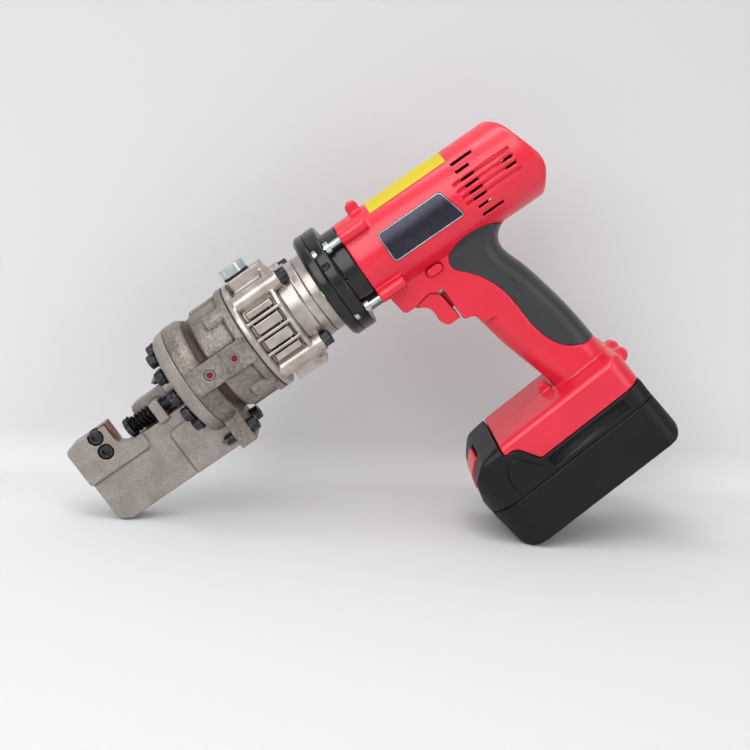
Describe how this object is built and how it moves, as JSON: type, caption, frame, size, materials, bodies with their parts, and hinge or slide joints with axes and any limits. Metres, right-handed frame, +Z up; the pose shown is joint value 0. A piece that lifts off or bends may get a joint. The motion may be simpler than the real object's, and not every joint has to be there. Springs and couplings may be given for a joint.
{
  "type": "rebar cutter",
  "caption": "Cordless pistol-grip hydraulic rebar cutter: C-shaped cutter head, ribbed pump, red motor housing, rubber grip and slide-on battery",
  "frame": {"origin": "middle of the machine's box in X and Y, on the floor that it leans on", "axes": "+Z is up; +X runs from the cutter head towards the motor end; the machine is symmetric about the plane Y = 0 in its main forms, and the ram axis climbs towards +X"},
  "size_m": [0.4144, 0.084, 0.2831],
  "materials": {
    "cast_steel": "grainy shot-blasted casting",
    "blade_steel": "oil-hardened tool steel with a brown film",
    "ground_steel": "ground steel",
    "black_screws": "black oxide",
    "spring_steel": "black spring wire",
    "cylinder_casting": "rough casting with silver paint",
    "pump_casting": "die casting, lightly polished",
    "bronze": "bearing bronze",
    "seal_rubber": "nitrile rubber",
    "gasket_fibre": "pressed fibre",
    "zinc_steel": "bright zinc plate",
    "black_metal": "gloss black paint",
    "motor_metal": "plated sheet steel",
    "red_plastic": "gloss moulded plastic",
    "black_plastic": "fine-textured moulded plastic",
    "grip_rubber": "soft overmould",
    "cell_wrap": "shrink wrap",
    "plate_print": "printed plate, no words",
    "label_yellow": "printed label, no words"
  },
  "bodies": {
    "tool": {"cutter_head": "cast_steel", "fixed_blade": "blade_steel", "fixed_blade_screws": "black_screws", "stopper_spring": "spring_steel", "ram_bush": "bronze", "ram_wiper": "seal_rubber", "return_spring": "spring_steel", "head_screws": "black_screws", "cylinder_block": "cylinder_casting", "side_plugs": "bronze", "pump_gasket": "gasket_fibre", "pump_housing": "pump_casting", "pump_screws": "black_screws", "filler_washer": "seal_rubber", "filler_bolt": "zinc_steel", "pump_block": "pump_casting", "pump_plunger": "ground_steel", "plunger_spring": "spring_steel", "shaft_bearings": "ground_steel", "oil_bladder": "seal_rubber", "neck_ring": "pump_casting", "collar_ring": "black_metal", "gear_case": "black_metal", "case_studs": "zinc_steel", "collar_screws": "zinc_steel", "ring_gear": "ground_steel", "motor_can": "motor_metal", "brush_holder": "black_plastic", "motor_bearings": "bronze", "housing_left": "red_plastic", "housing_right": "red_plastic", "grip_left": "grip_rubber", "grip_right": "grip_rubber", "housing_screws": "black_screws", "rating_plate": "plate_print", "caution_label": "label_yellow", "trigger_switch": "black_plastic", "trigger_spring": "spring_steel", "terminal_block": "black_plastic"},
    "ram": {"piston_ram": "ground_steel", "piston_seal": "seal_rubber", "moving_blade": "ground_steel", "moving_blade_screws": "black_screws"},
    "stopper": {"stopper_screw": "black_screws"},
    "rotor": {"rotor": "ground_steel", "motor_pinion": "ground_steel", "motor_fan": "black_plastic"},
    "output": {"planet_carrier": "ground_steel", "eccentric_shaft": "ground_steel", "eccentric_bearing": "ground_steel"},
    "planet_1": {"planet_gear_1": "ground_steel"},
    "planet_2": {"planet_gear_2": "ground_steel"},
    "planet_3": {"planet_gear_3": "ground_steel"},
    "trigger": {"trigger": "red_plastic"},
    "lock": {"lock_button": "red_plastic"},
    "battery": {"battery_upper": "black_plastic", "battery_lower": "black_plastic", "battery_cells": "cell_wrap", "battery_screws": "black_screws"},
    "release": {"release_button": "red_plastic"}
  },
  "joints": [
    {"name": "ram_slide", "type": "slide", "parent": "tool", "child": "ram", "axis": [-0.796, 0, -0.6053], "range_m": [0, 0.018], "stiffness_N_per_m": 2500, "springref_m": -0.012, "deforming": ["return_spring"]},
    {"name": "stopper_slide", "type": "slide", "parent": "tool", "child": "stopper", "axis": [0.796, 0, 0.6053], "range_m": [-0.0035, 0.005], "deforming": ["stopper_spring"]},
    {"name": "rotor_spin", "type": "hinge", "parent": "tool", "child": "rotor", "pos_m": [0.0236, 0, 0.21148], "axis": [0.796, 0, 0.6053], "continuous": true},
    {"name": "output_spin", "type": "hinge", "parent": "tool", "child": "output", "pos_m": [-0.02416, 0, 0.17517], "axis": [0.796, 0, 0.6053], "continuous": true},
    {"name": "planet_1_spin", "type": "hinge", "parent": "output", "child": "planet_1", "pos_m": [-0.00314, 0, 0.17231], "axis": [0.796, 0, 0.6053], "continuous": true},
    {"name": "planet_2_spin", "type": "hinge", "parent": "output", "child": "planet_2", "pos_m": [-0.01676, 0.01299, 0.19021], "axis": [0.796, 0, 0.6053], "continuous": true},
    {"name": "planet_3_spin", "type": "hinge", "parent": "output", "child": "planet_3", "pos_m": [-0.01676, -0.01299, 0.19021], "axis": [0.796, 0, 0.6053], "continuous": true},
    {"name": "trigger_slide", "type": "slide", "parent": "tool", "child": "trigger", "axis": [0.796, 0, 0.6053], "range_m": [0, 0.006], "stiffness_N_per_m": 350, "springref_m": -0.005, "deforming": ["trigger_spring"]},
    {"name": "lock_slide", "type": "slide", "parent": "tool", "child": "lock", "axis": [0, 1, 0], "range_m": [-0.0025, 0.0025]},
    {"name": "battery_slide", "type": "slide", "parent": "tool", "child": "battery", "axis": [-0.7461, 0, -0.6659], "range_m": [0, 0.108]},
    {"name": "release_slide", "type": "slide", "parent": "battery", "child": "release", "axis": [0.7461, 0, 0.6659], "range_m": [0, 0.0016], "stiffness_N_per_m": 500, "springref_m": -0.004}
  ],
  "couplings": [
    {"joint": "output_spin", "follows": "rotor_spin", "ratio": 0.2},
    {"joint": "planet_1_spin", "follows": "rotor_spin", "ratio": -0.53333},
    {"joint": "planet_2_spin", "follows": "rotor_spin", "ratio": -0.53333},
    {"joint": "planet_3_spin", "follows": "rotor_spin", "ratio": -0.53333}
  ]
}
